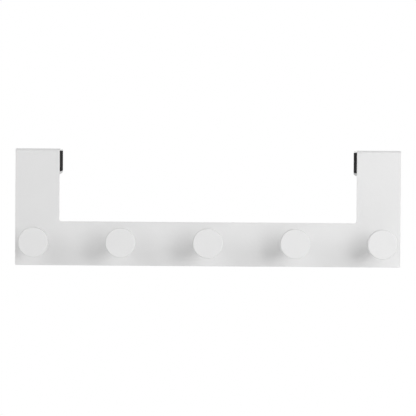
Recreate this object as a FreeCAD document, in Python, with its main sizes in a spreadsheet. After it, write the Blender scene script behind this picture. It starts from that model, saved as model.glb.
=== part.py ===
"""Over door hook: a folded sheet rail with five round knobs.

The rail is one sheet: a bar, an upright arm at each end, a bridge from each arm over the top of the door and a
lip down behind it. Each knob is a turned piece, held by a countersunk screw from behind. A rubber pad on each
lip meets the back of the door.

Millimetres, +Z up, knobs towards -Y. The origin is the middle of the door's top front edge: the rail's back face
lies on y = 0 and the undersides of the bridges on z = 0.
"""
import FreeCAD, Part
import os

import Sketcher

os.makedirs("parts", exist_ok=True)

SIZES = [
    ("rail_width", 350.0, "overall width, over both arms"),
    ("overall_height", 106.0, "from the bar's lower edge to the top of the bridges"),
    ("bar_height", 40.0, "height of the bar that carries the knobs"),
    ("arm_width", 40.0, "width of each arm, bridge and lip"),
    ("sheet_thickness", 1.4, "thickness of the coated sheet"),
    ("door_gap", 42.0, "clear depth from the rail's back face to the lips"),
    ("lip_length", 23.0, "from the top of the bridges to the lower end of the lips"),
    ("bend_radius", 1.5, "inside radius of every bend"),
    ("outer_corner_radius", 1.0, "lower outer corners of the bar"),
    ("inner_corner_radius", 2.0, "corners between the arms and the bar"),
    ("lip_corner_radius", 3.0, "lower corners of the lips"),
    ("edge_radius", 0.35, "rounding along the cut edges of the sheet"),
    ("knob_count", 5.0, "knobs along the bar"),
    ("knob_end_margin", 19.5, "from each end of the rail to the nearest knob axis"),
    ("knob_axis_height", 22.0, "from the bar's lower edge to the knob axes"),
    ("knob_projection", 41.0, "from the rail's front face to the knob faces"),
    ("knob_head_diameter", 26.8, "round head of each knob"),
    ("knob_head_length", 9.0, "length of the head, rim included"),
    ("knob_face_radius", 1.0, "rounding between the head's face and its side"),
    ("knob_back_radius", 2.0, "rounding at the back of the head"),
    ("knob_neck_diameter", 10.0, "neck where it meets the head"),
    ("knob_foot_diameter", 12.0, "neck where it meets the rail"),
    ("knob_neck_fillet", 3.0, "hollow between the neck and the head"),
    ("knob_foot_radius", 0.6, "rounding at the edge of the foot"),
    ("screw_diameter", 4.0, "outside of the screw thread"),
    ("screw_head_diameter", 7.5, "widest part of the countersunk head"),
    ("screw_head_recess", 0.1, "how far the head lies below the rail's back face"),
    ("screw_grip", 12.0, "length of the screw inside the knob"),
    ("screw_point", 0.5, "chamfer at the end of the screw"),
    ("screw_hole_clearance", 0.5, "hole in the rail less the screw, on the diameter"),
    ("screw_hole_reserve", 3.0, "depth of the knob's hole beyond the end of the screw"),
    ("knob_mouth_chamfer", 0.4, "least chamfer at the mouth of the knob's hole"),
    ("cross_span", 3.6, "cross recess in the screw head, from end to end"),
    ("cross_slot", 0.9, "width of each slot of the cross recess"),
    ("cross_depth", 1.3, "depth of the cross recess"),
    ("pad_thickness", 2.0, "thickness of the rubber pads"),
    ("pad_height", 18.8, "height of the rubber pads"),
    ("pad_top_gap", 0.1, "from the underside of the bridges to the pads"),
    ("pad_corner_radius", 1.5, "lower corners of the pads"),
    ("pad_edge_radius", 0.4, "rounding around the face of the pads"),
]

# Places that more than one piece follows, worked out from the sizes.
RIGHT_END = "size.rail_width / 2"
ARM_INSIDE = "(size.rail_width / 2 - size.arm_width)"
BAR_BOTTOM = "(size.sheet_thickness - size.overall_height)"
BAR_TOP = "(size.sheet_thickness - size.overall_height + size.bar_height)"
LIP_BOTTOM = "(size.sheet_thickness - size.lip_length)"
FIRST_KNOB = "(size.knob_end_margin - size.rail_width / 2)"
KNOB_PITCH = "((size.rail_width - 2 * size.knob_end_margin) / (size.knob_count - 1))"
KNOB_AXIS = "(size.sheet_thickness - size.overall_height + size.knob_axis_height)"

# How a sketch counts the points of its lines and circles.
START, END, CENTRE = 1, 2, 3

SAME_PLACE = 1e-5

doc = FreeCAD.newDocument("over_door_hook")
sheet = doc.addObject("Spreadsheet::Sheet", "size")
for row, (alias, value, note) in enumerate(SIZES, start=1):
    sheet.set("A%d" % row, alias)
    sheet.set("B%d" % row, str(value))
    sheet.set("C%d" % row, note)
    sheet.setAlias("B%d" % row, alias)
doc.recompute()


def value_of(expression):
    """The number that an expression in the sheet's sizes comes to."""
    result = sheet.evalExpression(expression)
    return float(getattr(result, "Value", result))


def new_body(label):
    body = doc.addObject("PartDesign::Body", label)
    body.Label = label
    return body


def origin_feature(body, role):
    return next(item for item in body.Origin.OriginFeatures if item.Role == role)


def place(body, x="0", y="0", z="0"):
    """Set a body's position from expressions."""
    for axis, expression in zip("xyz", (x, y, z)):
        if expression != "0":
            body.setExpression("Placement.Base.%s" % axis, expression)


def sketch_on(body, name, plane, offset="0"):
    """An empty sketch on one of the body's origin planes, moved along the plane's normal."""
    sketch = body.newObject("Sketcher::SketchObject", name)
    sketch.AttachmentSupport = [(origin_feature(body, plane), "")]
    sketch.MapMode = "FlatFace"
    if offset != "0":
        sketch.setExpression("AttachmentOffset.Base.z", offset)
    return sketch


def tie_point(sketch, line, end, x, y):
    """Tie one end of a line to the sketch's axes by two expressions."""
    origin, horizontal_axis, vertical_axis = -1, -1, -2
    for kind, expression, axis in (("DistanceX", x, vertical_axis), ("DistanceY", y, horizontal_axis)):
        if expression == "0":
            sketch.addConstraint(Sketcher.Constraint("PointOnObject", line, end, axis))
            continue
        rule = Sketcher.Constraint(kind, origin, START, line, end, value_of(expression))
        number = sketch.addConstraint(rule)
        sketch.setExpression("Constraints[%d]" % number, expression)


def draw_outline(sketch, corners):
    """A closed outline of straight lines, with every corner tied to the sizes."""
    points = [FreeCAD.Vector(value_of(x), value_of(y), 0) for x, y in corners]
    lines = []
    for start, finish in zip(points, points[1:] + points[:1]):
        lines.append(sketch.addGeometry(Part.LineSegment(start, finish), False))
    for line, following in zip(lines, lines[1:] + lines[:1]):
        sketch.addConstraint(Sketcher.Constraint("Coincident", line, END, following, START))
    for line, (x, y) in zip(lines, corners):
        tie_point(sketch, line, START, x, y)
    doc.recompute()


def pad(body, name, sketch, length):
    feature = body.newObject("PartDesign::Pad", name)
    feature.Profile = sketch
    feature.setExpression("Length", length)
    doc.recompute()
    return feature


def revolve(body, name, sketch):
    """Turn a sketch on the XY plane about the body's Y axis."""
    feature = body.newObject("PartDesign::Revolution", name)
    feature.Profile = sketch
    feature.ReferenceAxis = (sketch, ["V_Axis"])
    feature.Angle = 360
    doc.recompute()
    return feature


def repeat_along_rail(body, name, originals):
    """One copy at each knob, along X."""
    feature = body.newObject("PartDesign::LinearPattern", name)
    feature.Originals = originals
    feature.Direction = (origin_feature(body, "X_Axis"), [""])
    feature.setExpression("Length", "%s * (size.knob_count - 1)" % KNOB_PITCH)
    feature.setExpression("Occurrences", "size.knob_count")
    body.Tip = feature
    doc.recompute()


def lies_at(edge, **place_of):
    """True where the whole edge keeps the given x, y or z."""
    return all(abs(getattr(vertex, axis.upper()) - value) < SAME_PLACE
               for vertex in edge.Vertexes for axis, value in place_of.items())


def edge_names(shape, wanted):
    return ["Edge%d" % number for number, edge in enumerate(shape.Edges, start=1) if wanted(edge)]


def dress_edges(body, kind, name, wanted, amount_name, amount):
    """Fillet or chamfer those edges of the body's last feature that the test picks."""
    base = body.Tip
    feature = body.newObject("PartDesign::" + kind, name)
    feature.Base = (base, edge_names(base.Shape, wanted))
    feature.setExpression(amount_name, amount)
    doc.recompute()


def round_edges(body, name, wanted, radius):
    dress_edges(body, "Fillet", name, wanted, "Radius", radius)


def chamfer_edges(body, name, wanted, length):
    dress_edges(body, "Chamfer", name, wanted, "Size", length)


def is_sharp(shape):
    """A test for edges where two faces of the shape meet at an angle."""
    def test(edge):
        middle = edge.valueAt((edge.FirstParameter + edge.LastParameter) / 2)
        normals = []
        for face in shape.ancestorsOfType(edge, Part.Face):
            normals.append(face.normalAt(*face.Surface.parameter(middle)))
        return len(normals) == 2 and normals[0].getAngle(normals[1]) > 0.5
    return test


def make_rail():
    """The folded sheet, with a countersunk hole behind each knob."""
    body = new_body("door_rail")
    front = sketch_on(body, "front_outline", "XZ_Plane")
    draw_outline(front, [
        ("-" + RIGHT_END, BAR_BOTTOM),
        (RIGHT_END, BAR_BOTTOM),
        (RIGHT_END, "size.sheet_thickness"),
        (ARM_INSIDE, "size.sheet_thickness"),
        (ARM_INSIDE, BAR_TOP),
        ("-" + ARM_INSIDE, BAR_TOP),
        ("-" + ARM_INSIDE, "size.sheet_thickness"),
        ("-" + RIGHT_END, "size.sheet_thickness"),
    ])
    pad(body, "front_plate", front, "size.sheet_thickness")

    strap = sketch_on(body, "bridge_and_lip_outline", "YZ_Plane", ARM_INSIDE)
    draw_outline(strap, [
        ("-size.sheet_thickness", "0"),
        ("size.door_gap", "0"),
        ("size.door_gap", LIP_BOTTOM),
        ("size.door_gap + size.sheet_thickness", LIP_BOTTOM),
        ("size.door_gap + size.sheet_thickness", "size.sheet_thickness"),
        ("-size.sheet_thickness", "size.sheet_thickness"),
    ])
    right_strap = pad(body, "right_bridge_and_lip", strap, "size.arm_width")
    left_strap = body.newObject("PartDesign::Mirrored", "left_bridge_and_lip")
    left_strap.Originals = [right_strap]
    left_strap.MirrorPlane = (origin_feature(body, "YZ_Plane"), [""])
    body.Tip = left_strap
    doc.recompute()

    thickness = value_of("size.sheet_thickness")
    gap = value_of("size.door_gap")
    end = value_of(RIGHT_END)
    inside = value_of(ARM_INSIDE)
    bar_bottom = value_of(BAR_BOTTOM)
    bar_top = value_of(BAR_TOP)
    lip_bottom = value_of(LIP_BOTTOM)
    round_edges(body, "bends_outside",
                lambda edge: any(lies_at(edge, y=y, z=thickness) for y in (-thickness, gap + thickness)),
                "size.bend_radius + size.sheet_thickness")
    round_edges(body, "bends_inside",
                lambda edge: any(lies_at(edge, y=y, z=0) for y in (0, gap)),
                "size.bend_radius")
    round_edges(body, "bar_corners",
                lambda edge: any(lies_at(edge, x=x, z=bar_bottom) for x in (-end, end)),
                "size.outer_corner_radius")
    round_edges(body, "arm_corners",
                lambda edge: any(lies_at(edge, x=x, z=bar_top) for x in (-inside, inside)),
                "size.inner_corner_radius")
    round_edges(body, "lip_corners",
                lambda edge: any(lies_at(edge, x=x, z=lip_bottom) for x in (-end, -inside, inside, end)),
                "size.lip_corner_radius")
    round_edges(body, "cut_edges", is_sharp(body.Tip.Shape), "size.edge_radius")

    hole_diameter = "size.screw_diameter + size.screw_hole_clearance"
    outline = sketch_on(body, "screw_hole_outline", "XZ_Plane")
    centre = FreeCAD.Vector(value_of(FIRST_KNOB), value_of(KNOB_AXIS), 0)
    circle = outline.addGeometry(
        Part.Circle(centre, FreeCAD.Vector(0, 0, 1), value_of(hole_diameter) / 2), False)
    tie_point(outline, circle, CENTRE, FIRST_KNOB, KNOB_AXIS)
    rule = outline.addConstraint(Sketcher.Constraint("Diameter", circle, value_of(hole_diameter)))
    outline.setExpression("Constraints[%d]" % rule, hole_diameter)
    doc.recompute()
    hole = body.newObject("PartDesign::Hole", "screw_hole")
    hole.Profile = outline
    hole.Reversed = True
    hole.DepthType = "ThroughAll"
    hole.HoleCutType = "Countersink"
    hole.HoleCutCustomValues = True
    hole.HoleCutCountersinkAngle = 90
    hole.setExpression("Diameter", hole_diameter)
    hole.setExpression("HoleCutDiameter", "size.screw_head_diameter")
    doc.recompute()
    repeat_along_rail(body, "screw_holes", [hole])
    return body


def make_knob(number):
    """A turned knob: a tapered neck with a flat round head, and a blind hole for its screw."""
    body = new_body("knob_%d" % number)
    hole_depth = "(size.screw_grip + size.screw_hole_reserve)"
    neck_length = "(size.knob_projection - size.knob_head_length)"
    profile = sketch_on(body, "knob_profile_%d" % number, "XY_Plane")
    draw_outline(profile, [
        ("size.screw_diameter / 2", "0"),
        ("size.knob_foot_diameter / 2", "0"),
        ("size.knob_neck_diameter / 2", "-" + neck_length),
        ("size.knob_head_diameter / 2", "-" + neck_length),
        ("size.knob_head_diameter / 2", "-size.knob_projection"),
        ("0", "-size.knob_projection"),
        ("0", "-(%s + size.screw_diameter / 2 * tan(31))" % hole_depth),
        ("size.screw_diameter / 2", "-" + hole_depth),
    ])
    revolve(body, "turned_knob_%d" % number, profile)

    def rim(diameter, depth):
        """A test for the circle of that diameter at that distance from the rail."""
        radius = value_of(diameter) / 2
        return lambda edge: (lies_at(edge, y=-value_of(depth)) and hasattr(edge.Curve, "Radius")
                             and abs(edge.Curve.Radius - radius) < SAME_PLACE)

    round_edges(body, "face_rim_%d" % number, rim("size.knob_head_diameter", "size.knob_projection"),
                "size.knob_face_radius")
    round_edges(body, "back_rim_%d" % number, rim("size.knob_head_diameter", neck_length),
                "size.knob_back_radius")
    round_edges(body, "neck_hollow_%d" % number, rim("size.knob_neck_diameter", neck_length),
                "size.knob_neck_fillet")
    round_edges(body, "foot_rim_%d" % number, rim("size.knob_foot_diameter", "0"), "size.knob_foot_radius")

    cone_beyond_sheet = "(size.screw_head_diameter - size.screw_diameter) / 2 - size.sheet_thickness"
    chamfer_edges(body, "hole_mouth_%d" % number, rim("size.screw_diameter", "0"),
                  "max(size.knob_mouth_chamfer; %s + size.screw_hole_clearance / 2)" % cone_beyond_sheet)
    place(body, "%s + %d * %s" % (FIRST_KNOB, number - 1, KNOB_PITCH), "-size.sheet_thickness", KNOB_AXIS)
    doc.recompute()
    return body


def make_screws():
    """One countersunk screw behind each knob, as separate solids."""
    body = new_body("knob_screws")
    length = "(size.sheet_thickness + size.screw_grip)"
    profile = sketch_on(body, "screw_profile", "XY_Plane")
    draw_outline(profile, [
        ("0", "-size.screw_head_recess"),
        ("size.screw_head_diameter / 2 - size.screw_head_recess", "-size.screw_head_recess"),
        ("size.screw_diameter / 2", "-(size.screw_head_diameter - size.screw_diameter) / 2"),
        ("size.screw_diameter / 2", "-(%s - size.screw_point)" % length),
        ("size.screw_diameter / 2 - size.screw_point", "-" + length),
        ("0", "-" + length),
    ])
    turned = revolve(body, "turned_screw", profile)

    cross = sketch_on(body, "cross_outline", "XZ_Plane", "size.screw_head_recess")
    span, slot = "size.cross_span / 2", "size.cross_slot / 2"
    quarter = [(span, slot), (slot, slot), (slot, span)]
    corners = list(quarter)
    corners += [("-" + x, z) for x, z in reversed(quarter)]
    corners += [("-" + x, "-" + z) for x, z in quarter]
    corners += [(x, "-" + z) for x, z in reversed(quarter)]
    draw_outline(cross, corners)
    recess = body.newObject("PartDesign::Pocket", "cross_recess")
    recess.Profile = cross
    recess.Reversed = True
    recess.setExpression("Length", "size.cross_depth")
    doc.recompute()
    repeat_along_rail(body, "screw_row", [turned, recess])
    place(body, FIRST_KNOB, "0", KNOB_AXIS)
    doc.recompute()
    return body


def make_pad(side, left_edge):
    """A rubber pad on the front of one lip, rounded behind to nest in the bend."""
    body = new_body("lip_pad_" + side)
    top = "(-size.pad_top_gap)"
    bottom = "(-size.pad_top_gap - size.pad_height)"
    outline = sketch_on(body, "pad_outline_" + side, "XZ_Plane", "-size.door_gap")
    draw_outline(outline, [
        (left_edge, bottom),
        (left_edge + " + size.arm_width", bottom),
        (left_edge + " + size.arm_width", top),
        (left_edge, top),
    ])
    pad(body, "pad_block_" + side, outline, "size.pad_thickness")
    gap = value_of("size.door_gap")
    low = value_of(bottom)
    sides = [value_of(left_edge), value_of(left_edge + " + size.arm_width")]
    round_edges(body, "pad_bend_edge_" + side, lambda edge: lies_at(edge, y=gap, z=value_of(top)),
                "size.bend_radius")
    round_edges(body, "pad_corners_" + side,
                lambda edge: any(lies_at(edge, x=x, z=low) for x in sides), "size.pad_corner_radius")
    face = gap - value_of("size.pad_thickness")
    round_edges(body, "pad_face_edges_" + side, lambda edge: lies_at(edge, y=face), "size.pad_edge_radius")
    return body


bodies = [make_rail()]
for knob_number in range(1, int(round(value_of("size.knob_count"))) + 1):
    bodies.append(make_knob(knob_number))
bodies.append(make_screws())
bodies.append(make_pad("left", "(-size.rail_width / 2)"))
bodies.append(make_pad("right", ARM_INSIDE))
doc.recompute()

for item in doc.Objects:
    if "Invalid" in item.State or "Error" in item.State:
        raise RuntimeError("%s failed: %s" % (item.Label, item.State))
for body in bodies:
    if body.Shape.isNull() or not body.Shape.isValid():
        raise RuntimeError("%s has no valid shape" % body.Label)
for body in bodies:
    body.Shape.exportStep("parts/%s.step" % body.Label)
    print("%-16s %d solid(s) %10.1f mm3" % (body.Label, len(body.Shape.Solids), body.Shape.Volume))
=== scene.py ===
"""Studio scene of a white over door hook rail with five round knobs and rubber pads on its lips."""
import math

import bpy
from mathutils import Matrix, Vector


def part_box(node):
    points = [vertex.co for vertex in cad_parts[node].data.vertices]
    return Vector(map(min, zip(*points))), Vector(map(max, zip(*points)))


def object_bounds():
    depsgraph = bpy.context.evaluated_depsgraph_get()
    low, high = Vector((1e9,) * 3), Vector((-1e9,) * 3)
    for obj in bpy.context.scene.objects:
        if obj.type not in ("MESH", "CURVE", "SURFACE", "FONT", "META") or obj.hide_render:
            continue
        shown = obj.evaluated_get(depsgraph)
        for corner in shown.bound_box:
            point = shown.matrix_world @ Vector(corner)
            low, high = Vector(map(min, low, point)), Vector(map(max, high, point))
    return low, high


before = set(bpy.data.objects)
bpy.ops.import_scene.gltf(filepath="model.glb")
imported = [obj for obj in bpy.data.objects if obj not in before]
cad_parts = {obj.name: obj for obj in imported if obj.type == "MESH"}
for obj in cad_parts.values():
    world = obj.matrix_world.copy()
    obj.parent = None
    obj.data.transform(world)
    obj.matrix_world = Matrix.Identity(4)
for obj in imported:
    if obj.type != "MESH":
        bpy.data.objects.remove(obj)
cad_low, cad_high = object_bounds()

MM = 0.001

# The photograph's frame, in pixels from its left and top, and the camera in it.
IMAGE_PX = 416
RAIL_LEFT_PX = 15.39
RAIL_RIGHT_PX = 400.84
HORIZON_PX = 178
ROLL_DEG = 0.41
CAMERA_DISTANCE = 1.873
SENSOR_MM = 36.0
CLIP_NEAR = 0.05
CLIP_FAR = 50

# Lamps stand on a sphere round the object: compass angle from the camera's side towards the right, height
# angle, distance and size in metres, and power in watts. The last two light the back.
LAMPS = [
    ("key_right", 30, 6, 1.3, 0.45, 3.40),
    ("near_right", 24, 12, 0.8, 0.2, 0.35),
    ("side_right", 58, 22, 1.3, 0.45, 2.64),
    ("fill_left", -35, 8, 0.8, 0.3, 0.75),
    ("back_left", 205, 4, 1.3, 0.6, 3.6),
    ("back_right", 145, 8, 1.3, 0.6, 2.4),
]
ROOM_LIGHT = 0.462

# The floor, in metres. A glow of its own keeps it a little paler than the object, and it fades to the white
# of the room.
FLOOR_DROP = 0.30
FLOOR_RADIUS = 7.0
FLOOR_SIDES = 96
FLOOR_FADE_START = 0.7
FLOOR_FADE_END = 1.25
FLOOR_GLOW = 0.25
FLOOR_PAINT = "#F4F4F4"
WHITE = "#FFFFFF"

# Powder coat: orange peel and the melted grit over it, near their real size, on a slowly drifting tone.
COAT_DRIFT_MM = 38.0
COAT_PEEL_MM = 2.5
COAT_GRIT_MM = 0.4
COAT_GRIT_SHARE = 0.15
COAT_RELIEF = 0.7
COAT_RELIEF_MM = 0.1
COAT_ROUGHNESS = (0.45, 0.51)
COAT_IOR = 1.5

# Zinc plate, clouded by its bath.
ZINC_TONES = ("#C9CCD1", "#B4B6B8")
ZINC_CLOUD_MM = 1.2
ZINC_ROUGHNESS = (0.24, 0.38)

# Rubber: the moulding cloth's grain is drawn about twice as coarse as the real one, so that it shows.
RUBBER_TONES = ("#1D1D1D", "#262626")
RUBBER_CLOUD_MM = 3.0
RUBBER_GRAIN_MM = 1.0
RUBBER_RELIEF = 0.8
RUBBER_RELIEF_MM = 0.2
RUBBER_ROUGHNESS = 0.82
RUBBER_IOR = 1.52

# Most of a noise pattern's values lie between these two.
NOISE_BAND = (0.3, 0.7)


def linear(hex_colour):
    """An sRGB hex colour as linear red, green, blue and alpha."""
    def one(channel):
        return channel / 12.92 if channel <= 0.04045 else ((channel + 0.055) / 1.055) ** 2.4
    return [one(int(hex_colour[i:i + 2], 16) / 255) for i in (1, 3, 5)] + [1.0]


def per_lump(size_mm):
    """The scale of a noise or cell pattern whose lumps are about that size."""
    return 1 / (size_mm * MM)


def add_node(tree, kind, inputs=None, **settings):
    """Add a node. Inputs are given by name or number, as values or as another node's output socket."""
    node = tree.nodes.new(kind)
    for name, value in settings.items():
        setattr(node, name, value)
    for name, value in (inputs or {}).items():
        if isinstance(value, bpy.types.NodeSocket):
            tree.links.new(value, node.inputs[name])
        else:
            node.inputs[name].default_value = value
    return node


def new_material(name):
    """An empty node material, with its node tree."""
    material = bpy.data.materials.new(name)
    material.use_nodes = True
    material.node_tree.nodes.clear()
    return material, material.node_tree


def powder_coat(name, colour, shade):
    """Satin polyester powder coat, sprayed and baked: a soft, faintly dimpled skin over the metal."""
    material, tree = new_material(name)
    place = add_node(tree, "ShaderNodeTexCoord").outputs["Object"]
    drift = add_node(tree, "ShaderNodeTexNoise",
                     {"Vector": place, "Scale": per_lump(COAT_DRIFT_MM), "Detail": 1.0})
    tone = add_node(tree, "ShaderNodeMix",
                    {"Factor": drift.outputs["Fac"], 6: linear(colour), 7: linear(shade)}, data_type="RGBA")
    peel = add_node(tree, "ShaderNodeTexNoise",
                    {"Vector": place, "Scale": per_lump(COAT_PEEL_MM), "Detail": 1.0})
    grit = add_node(tree, "ShaderNodeTexNoise",
                    {"Vector": place, "Scale": per_lump(COAT_GRIT_MM), "Detail": 2.0})
    surface = add_node(tree, "ShaderNodeMath",
                       {0: grit.outputs["Fac"], 1: COAT_GRIT_SHARE, 2: peel.outputs["Fac"]},
                       operation="MULTIPLY_ADD")
    bump = add_node(tree, "ShaderNodeBump",
                    {"Height": surface.outputs[0], "Strength": COAT_RELIEF, "Distance": COAT_RELIEF_MM * MM})
    softness = add_node(tree, "ShaderNodeMapRange",
                        {"Value": grit.outputs["Fac"], "From Min": NOISE_BAND[0], "From Max": NOISE_BAND[1],
                         "To Min": COAT_ROUGHNESS[0], "To Max": COAT_ROUGHNESS[1]})
    skin = add_node(tree, "ShaderNodeBsdfPrincipled",
                    {"Base Color": tone.outputs[2], "Roughness": softness.outputs[0], "IOR": COAT_IOR,
                     "Normal": bump.outputs[0]})
    add_node(tree, "ShaderNodeOutputMaterial", {"Surface": skin.outputs[0]})
    return material


def zinc_plate():
    """Bright zinc plate on steel screws: a cool, slightly clouded metal."""
    material, tree = new_material("bright_zinc_plated_steel")
    place = add_node(tree, "ShaderNodeTexCoord").outputs["Object"]
    cloud = add_node(tree, "ShaderNodeTexNoise",
                     {"Vector": place, "Scale": per_lump(ZINC_CLOUD_MM), "Detail": 3.0})
    tone = add_node(tree, "ShaderNodeMix",
                    {"Factor": cloud.outputs["Fac"], 6: linear(ZINC_TONES[0]), 7: linear(ZINC_TONES[1])},
                    data_type="RGBA")
    softness = add_node(tree, "ShaderNodeMapRange",
                        {"Value": cloud.outputs["Fac"], "From Min": NOISE_BAND[0], "From Max": NOISE_BAND[1],
                         "To Min": ZINC_ROUGHNESS[0], "To Max": ZINC_ROUGHNESS[1]})
    metal = add_node(tree, "ShaderNodeBsdfPrincipled",
                     {"Base Color": tone.outputs[2], "Metallic": 1.0, "Roughness": softness.outputs[0]})
    add_node(tree, "ShaderNodeOutputMaterial", {"Surface": metal.outputs[0]})
    return material


def pad_rubber():
    """Black rubber sheet, die cut: dull, with a fine leathery grain from the moulding cloth."""
    material, tree = new_material("black_rubber_sheet")
    place = add_node(tree, "ShaderNodeTexCoord").outputs["Object"]
    cloud = add_node(tree, "ShaderNodeTexNoise",
                     {"Vector": place, "Scale": per_lump(RUBBER_CLOUD_MM), "Detail": 2.0})
    tone = add_node(tree, "ShaderNodeMix",
                    {"Factor": cloud.outputs["Fac"], 6: linear(RUBBER_TONES[0]), 7: linear(RUBBER_TONES[1])},
                    data_type="RGBA")
    cells = add_node(tree, "ShaderNodeTexVoronoi", {"Vector": place, "Scale": per_lump(RUBBER_GRAIN_MM)})
    bump = add_node(tree, "ShaderNodeBump",
                    {"Height": cells.outputs["Distance"], "Strength": RUBBER_RELIEF,
                     "Distance": RUBBER_RELIEF_MM * MM})
    rubber = add_node(tree, "ShaderNodeBsdfPrincipled",
                      {"Base Color": tone.outputs[2], "Roughness": RUBBER_ROUGHNESS, "IOR": RUBBER_IOR,
                       "Normal": bump.outputs[0]})
    add_node(tree, "ShaderNodeOutputMaterial", {"Surface": rubber.outputs[0]})
    return material


def dress(node_name, material):
    """Give a CAD node its finish."""
    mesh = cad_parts[node_name].data
    if mesh.materials:
        for number in range(len(mesh.materials)):
            mesh.materials[number] = material
    else:
        mesh.materials.append(material)


def light_ray_choice(tree):
    """1 for rays straight from the camera or from a mirror or glass, 0 for the light on the object."""
    path = add_node(tree, "ShaderNodeLightPath")
    seen = add_node(tree, "ShaderNodeMath",
                    {0: path.outputs["Is Camera Ray"], 1: path.outputs["Is Glossy Ray"]},
                    operation="MAXIMUM")
    return add_node(tree, "ShaderNodeMath",
                    {0: seen.outputs[0], 1: path.outputs["Is Transmission Ray"]},
                    operation="MAXIMUM").outputs[0]


def make_room():
    """A white room to look at, with a plain even light on the object."""
    world = bpy.data.worlds.new("white_studio")
    bpy.context.scene.world = world
    world.use_nodes = True
    tree = world.node_tree
    tree.nodes.clear()
    lit = add_node(tree, "ShaderNodeBackground", {"Color": linear(WHITE), "Strength": ROOM_LIGHT})
    seen = add_node(tree, "ShaderNodeBackground", {"Color": linear(WHITE), "Strength": 1.0})
    choice = add_node(tree, "ShaderNodeMixShader",
                      {0: light_ray_choice(tree), 1: lit.outputs[0], 2: seen.outputs[0]})
    add_node(tree, "ShaderNodeOutputWorld", {"Surface": choice.outputs[0]})


def make_floor(centre, bottom):
    """A pale round floor under the object, which keeps its shadow and fades to the white of the room."""
    bpy.ops.object.select_all(action="DESELECT")
    bpy.ops.mesh.primitive_circle_add(vertices=FLOOR_SIDES, radius=FLOOR_RADIUS, fill_type="NGON",
                                      location=(centre.x, centre.y, bottom - FLOOR_DROP))
    floor = bpy.context.object
    floor.name = "studio_floor"
    bpy.ops.object.transform_apply(location=True, rotation=True, scale=True)
    material, tree = new_material("pale_studio_floor")
    place = add_node(tree, "ShaderNodeTexCoord").outputs["Object"]
    level = add_node(tree, "ShaderNodeVectorMath", {0: place, 1: (1.0, 1.0, 0.0)}, operation="MULTIPLY")
    reach = add_node(tree, "ShaderNodeVectorMath", {0: level.outputs[0]}, operation="LENGTH")
    fade = add_node(tree, "ShaderNodeMapRange",
                    {"Value": reach.outputs["Value"],
                     "From Min": FLOOR_FADE_START, "From Max": FLOOR_FADE_END})
    paint = add_node(tree, "ShaderNodeBsdfDiffuse", {"Color": linear(FLOOR_PAINT)})
    glow = add_node(tree, "ShaderNodeEmission", {"Color": linear(WHITE), "Strength": FLOOR_GLOW})
    near = add_node(tree, "ShaderNodeAddShader", {0: paint.outputs[0], 1: glow.outputs[0]})
    far = add_node(tree, "ShaderNodeEmission", {"Color": linear(WHITE), "Strength": 1.0})
    faded = add_node(tree, "ShaderNodeMixShader",
                     {0: fade.outputs[0], 1: near.outputs[0], 2: far.outputs[0]})
    above = add_node(tree, "ShaderNodeMixShader",
                     {0: light_ray_choice(tree), 1: paint.outputs[0], 2: faded.outputs[0]})
    # From underneath the floor is clear, so it doesn't hide the object there.
    underneath = add_node(tree, "ShaderNodeNewGeometry").outputs["Backfacing"]
    clear = add_node(tree, "ShaderNodeBsdfTransparent")
    shown = add_node(tree, "ShaderNodeMixShader",
                     {0: underneath, 1: above.outputs[0], 2: clear.outputs[0]})
    add_node(tree, "ShaderNodeOutputMaterial", {"Surface": shown.outputs[0]})
    floor.data.materials.append(material)


def make_lamp(name, compass_deg, height_deg, distance, size, power, aim):
    """A square soft box that faces the object."""
    compass, height = math.radians(compass_deg), math.radians(height_deg)
    level = math.cos(height)
    away = Vector((math.sin(compass) * level, -math.cos(compass) * level, math.sin(height)))
    lamp = bpy.data.lights.new(name, "AREA")
    lamp.shape = "SQUARE"
    lamp.size = size
    lamp.energy = power
    holder = bpy.data.objects.new(name, lamp)
    holder.location = aim + away * distance
    holder.rotation_mode = "QUATERNION"
    holder.rotation_quaternion = away.to_track_quat("Z", "Y")
    holder.visible_camera = False
    bpy.context.scene.collection.objects.link(holder)


def make_camera(low, high, frame_front):
    """The photograph's view: nearly square on from far away, a little above the middle, turned by a hair."""
    metres_per_px = (high.x - low.x) / (RAIL_RIGHT_PX - RAIL_LEFT_PX)
    middle = Vector(((low.x + high.x) / 2, frame_front, (low.z + high.z) / 2))
    camera = bpy.data.cameras.new("photo_camera")
    camera.sensor_width = SENSOR_MM
    camera.lens = SENSOR_MM * CAMERA_DISTANCE / (IMAGE_PX * metres_per_px)
    camera.clip_start = CLIP_NEAR
    camera.clip_end = CLIP_FAR
    rise = (IMAGE_PX / 2 - HORIZON_PX) * metres_per_px
    holder = bpy.data.objects.new("photo_camera", camera)
    spot = middle + Vector((0, -CAMERA_DISTANCE, rise))
    turn = (spot - middle).to_track_quat("Z", "Y").to_matrix().to_4x4()
    roll = Matrix.Rotation(math.radians(ROLL_DEG), 4, "Z")
    holder.matrix_world = Matrix.Translation(spot) @ turn @ roll
    bpy.context.scene.collection.objects.link(holder)
    bpy.context.scene.camera = holder


bpy.context.scene.view_settings.view_transform = "Standard"

rail_coat = powder_coat("white_polyester_powder_coat_on_steel", "#E9E9E9", "#E5E5E5")
knob_coat = powder_coat("white_polyester_powder_coat_on_aluminium", "#E8E8E8", "#E5E5E5")
zinc = zinc_plate()
rubber = pad_rubber()
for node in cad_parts:
    if node == "door_rail":
        dress(node, rail_coat)
    elif node == "knob_screws":
        dress(node, zinc)
    elif node.startswith("knob_"):
        dress(node, knob_coat)
    else:
        dress(node, rubber)

middle = (cad_low + cad_high) / 2
make_room()
make_floor(middle, cad_low.z)
for lamp in LAMPS:
    make_lamp(*lamp, aim=middle)
make_camera(cad_low, cad_high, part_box("door_rail")[0].y)
